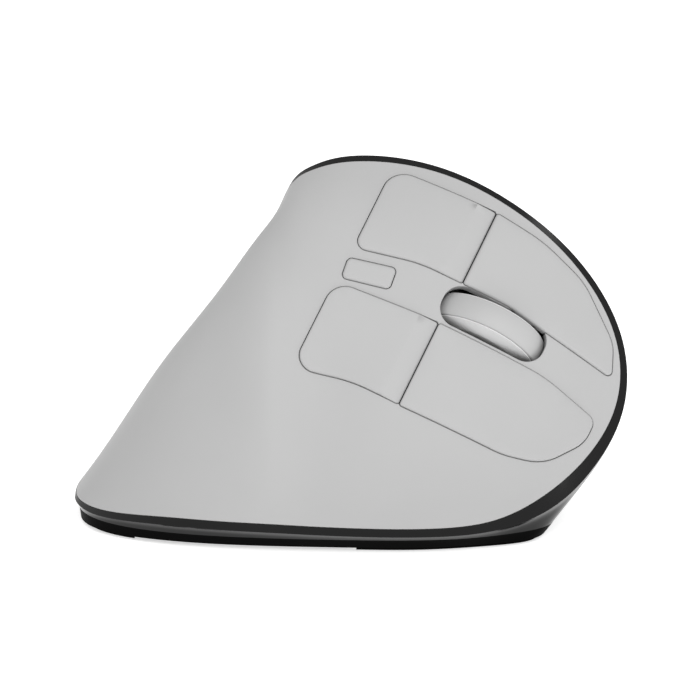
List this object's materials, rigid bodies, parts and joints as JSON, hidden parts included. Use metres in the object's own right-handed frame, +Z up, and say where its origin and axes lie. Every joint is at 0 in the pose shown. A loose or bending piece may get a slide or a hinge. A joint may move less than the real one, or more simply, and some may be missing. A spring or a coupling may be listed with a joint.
{
  "type": "computer mouse",
  "caption": "Right-handed upright wireless computer mouse with a light finger panel, dark side shell, scroll wheel, thumb-up grip and hinged finger buttons",
  "frame": {"origin": "on the desk plane under the middle of the whole mouse, at the bottom of its glide pads", "axes": "+Z up, +Y towards the front (finger tips), +X towards the finger side of the hand"},
  "size_m": [0.0714, 0.1115, 0.0699],
  "materials": {
    "light_plastic": "satin moulded",
    "dark_gloss": "gloss",
    "dark_matte": "fine texture",
    "glide_pad": "smooth",
    "wheel_rubber": "soft matte",
    "hub_plastic": "moulded",
    "plated_steel": "nickel plated",
    "frame_plastic": "moulded",
    "switch_plastic": "moulded",
    "plunger_plastic": "moulded",
    "board_green": "solder mask",
    "chip_black": "moulded",
    "clear_lens": "polished",
    "cell_wrap": "printed sleeve",
    "ribbon_white": "film"
  },
  "bodies": {
    "case": {"back_switch": "switch_plastic", "base_plate": "dark_matte", "battery": "cell_wrap", "board_parts": "chip_black", "board_screws": "plated_steel", "button_board": "board_green", "button_pins": "plated_steel", "case_screws": "plated_steel", "controller_chip": "chip_black", "dpi_switch": "switch_plastic", "face_panel": "light_plastic", "forward_switch": "switch_plastic", "frame_screws": "plated_steel", "front_foot": "glide_pad", "key_frame": "frame_plastic", "left_switch": "switch_plastic", "main_board": "board_green", "negative_contact": "plated_steel", "positive_contact": "plated_steel", "power_switch": "switch_plastic", "rear_foot": "glide_pad", "ribbon_cable": "ribbon_white", "ribbon_plug": "frame_plastic", "right_switch": "switch_plastic", "sensor_chip": "chip_black", "sensor_lens": "clear_lens", "side_shell": "dark_gloss", "wheel_spring": "plated_steel", "wheel_switch": "switch_plastic"},
    "left_key": {"left_button": "light_plastic"},
    "right_key": {"right_button": "light_plastic"},
    "forward_key": {"forward_button": "light_plastic"},
    "back_key": {"back_button": "light_plastic"},
    "dpi_key": {"dpi_button": "light_plastic"},
    "left_pin": {"left_plunger": "plunger_plastic"},
    "right_pin": {"right_plunger": "plunger_plastic"},
    "forward_pin": {"forward_plunger": "plunger_plastic"},
    "back_pin": {"back_plunger": "plunger_plastic"},
    "dpi_pin": {"dpi_plunger": "plunger_plastic"},
    "wheel_pin": {"wheel_plunger": "plunger_plastic"},
    "carrier": {"wheel_carrier": "frame_plastic", "encoder": "switch_plastic"},
    "wheel": {"wheel_tyre": "wheel_rubber", "wheel_hub": "hub_plastic", "wheel_axle": "plated_steel", "encoder_rotor": "frame_plastic"},
    "power_knob": {"power_slider": "frame_plastic"},
    "door": {"battery_door": "dark_matte"},
    "receiver": {"receiver_cap": "frame_plastic", "receiver_plug": "plated_steel"}
  },
  "joints": [
    {"name": "left_press", "type": "hinge", "parent": "case", "child": "left_key", "pos_m": [-0.0044, 0.02734, 0.04947], "axis": [-0.5423, 0.419, 0.7282], "range_deg": [0, 1.35], "stiffness_Nm_per_rad": 0.6},
    {"name": "left_plunge", "type": "slide", "parent": "case", "child": "left_pin", "axis": [-0.8355, -0.1782, -0.5198], "range_m": [0, 0.000349]},
    {"name": "right_press", "type": "hinge", "parent": "case", "child": "right_key", "pos_m": [0.01041, 0.01533, 0.02978], "axis": [-0.5423, 0.419, 0.7282], "range_deg": [0, 1.29], "stiffness_Nm_per_rad": 0.6},
    {"name": "right_plunge", "type": "slide", "parent": "case", "child": "right_pin", "axis": [-0.8355, -0.1782, -0.5198], "range_m": [0, 0.000349]},
    {"name": "forward_press", "type": "hinge", "parent": "case", "child": "forward_key", "pos_m": [-0.00804, 0.00616, 0.05757], "axis": [-0.5423, 0.419, 0.7282], "range_deg": [0, 0.97], "stiffness_Nm_per_rad": 0.6},
    {"name": "forward_plunge", "type": "slide", "parent": "case", "child": "forward_pin", "axis": [-0.8355, -0.1782, -0.5198], "range_m": [0, 0.000301]},
    {"name": "back_press", "type": "hinge", "parent": "case", "child": "back_key", "pos_m": [0.00539, -0.00488, 0.03822], "axis": [-0.5423, 0.419, 0.7282], "range_deg": [0, 0.97], "stiffness_Nm_per_rad": 0.6},
    {"name": "back_plunge", "type": "slide", "parent": "case", "child": "back_pin", "axis": [-0.8355, -0.1782, -0.5198], "range_m": [0, 0.000301]},
    {"name": "dpi_press", "type": "slide", "parent": "case", "child": "dpi_key", "axis": [-0.8355, -0.1782, -0.5198], "range_m": [0, 0.0003], "stiffness_N_per_m": 400},
    {"name": "dpi_plunge", "type": "slide", "parent": "case", "child": "dpi_pin", "axis": [-0.8355, -0.1782, -0.5198], "range_m": [0, 0.00035]},
    {"name": "wheel_click", "type": "slide", "parent": "case", "child": "carrier", "axis": [-0.8355, -0.1782, -0.5198], "range_m": [0, 0.0005], "stiffness_N_per_m": 500, "deforming": ["wheel_spring"]},
    {"name": "wheel_plunge", "type": "slide", "parent": "case", "child": "wheel_pin", "axis": [-0.8355, -0.1782, -0.5198], "range_m": [0, 0.00055]},
    {"name": "wheel_spin", "type": "hinge", "parent": "carrier", "child": "wheel", "pos_m": [0.00072, 0.02732, 0.03565], "axis": [-0.5423, 0.419, 0.7282], "continuous": true},
    {"name": "power_slide", "type": "slide", "parent": "case", "child": "power_knob", "axis": [1, 0, 0], "range_m": [0, 0.0028]},
    {"name": "door_slide", "type": "slide", "parent": "case", "child": "door", "axis": [0, -1, 0], "range_m": [0, 0.012]},
    {"name": "receiver_pull", "type": "slide", "parent": "case", "child": "receiver", "axis": [0, 0, -1], "range_m": [0, 0.012]}
  ],
  "couplings": [
    {"joint": "left_plunge", "follows": "left_press", "m_per_rad": 0.0127},
    {"joint": "right_plunge", "follows": "right_press", "m_per_rad": 0.0133},
    {"joint": "forward_plunge", "follows": "forward_press", "m_per_rad": 0.0148},
    {"joint": "back_plunge", "follows": "back_press", "m_per_rad": 0.0148},
    {"joint": "dpi_plunge", "follows": "dpi_press", "ratio": 1},
    {"joint": "wheel_plunge", "follows": "wheel_click", "ratio": 1}
  ]
}
